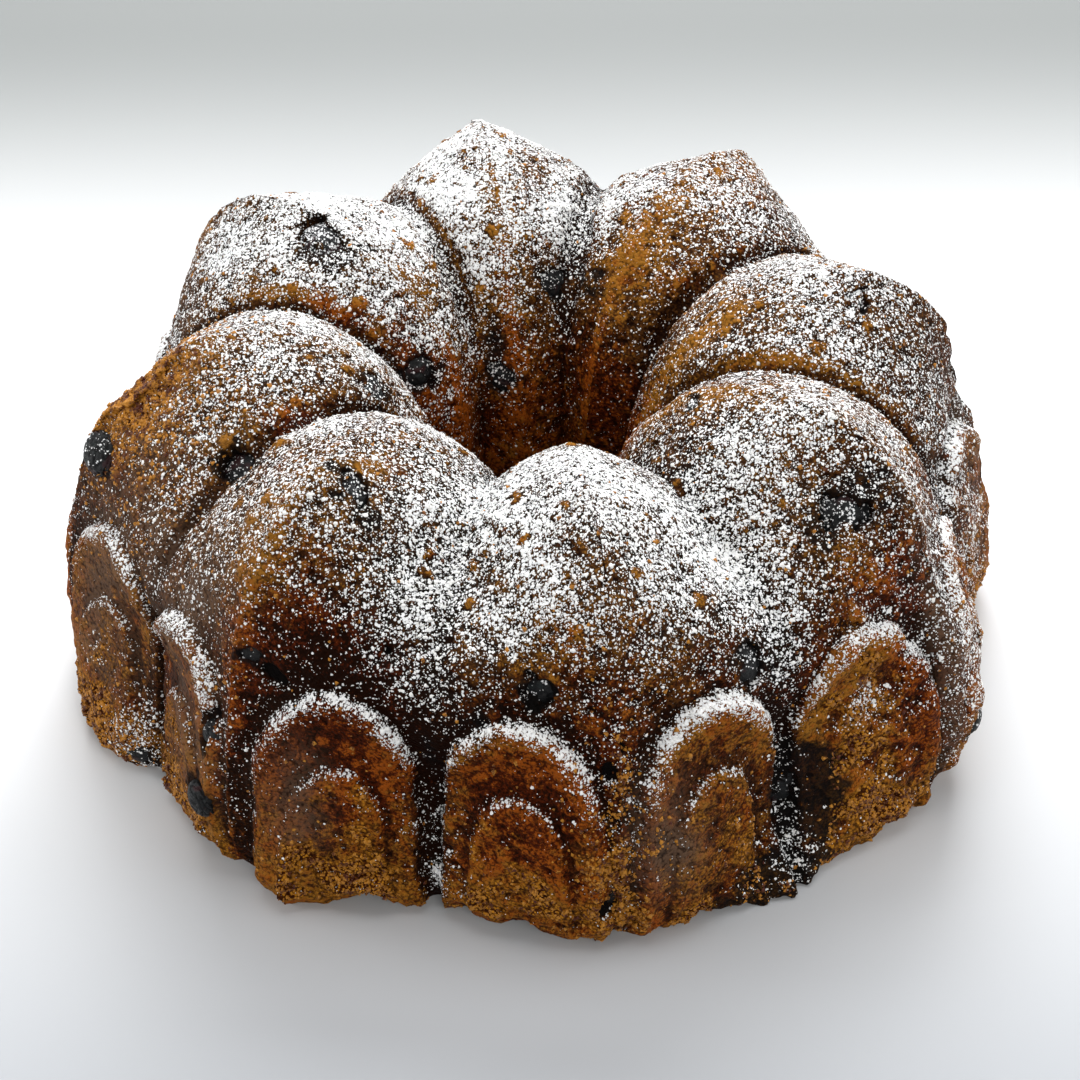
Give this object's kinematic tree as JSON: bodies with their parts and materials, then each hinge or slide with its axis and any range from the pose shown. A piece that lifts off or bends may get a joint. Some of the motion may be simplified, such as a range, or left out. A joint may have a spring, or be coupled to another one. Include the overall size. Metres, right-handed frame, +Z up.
{
  "type": "fluted ring cake",
  "caption": "Whole fluted ring cake with lobes leaning round a central hole, arched panels round the foot, berries baked into the crust and icing sugar on top.",
  "frame": {"origin": "middle of the hole at the surface the cake stands on", "axes": "+Z up along the hole, -Y towards the front lobe side; a lobe's ridge lies 80.3 degrees clockwise from +X"},
  "size_m": [0.2256, 0.2256, 0.0996],
  "materials": {
    "crust": "baked cake crust, golden brown, matte and porous",
    "berry_skin": "baked berry skin, near black, slightly moist",
    "icing_sugar": "fine white powder, fully matte"
  },
  "bodies": {
    "root": {"cake": "crust", "berry_01": "berry_skin", "berry_02": "berry_skin", "berry_03": "berry_skin", "berry_04": "berry_skin", "berry_05": "berry_skin", "berry_06": "berry_skin", "berry_07": "berry_skin", "berry_08": "berry_skin", "berry_09": "berry_skin", "berry_10": "berry_skin", "berry_11": "berry_skin", "berry_12": "berry_skin", "berry_13": "berry_skin", "berry_14": "berry_skin", "berry_15": "berry_skin", "berry_16": "berry_skin", "berry_17": "berry_skin", "berry_18": "berry_skin", "berry_19": "berry_skin", "berry_20": "berry_skin", "berry_21": "berry_skin", "berry_22": "berry_skin", "berry_23": "berry_skin", "berry_24": "berry_skin", "berry_25": "berry_skin"}
  },
  "joints": []
}
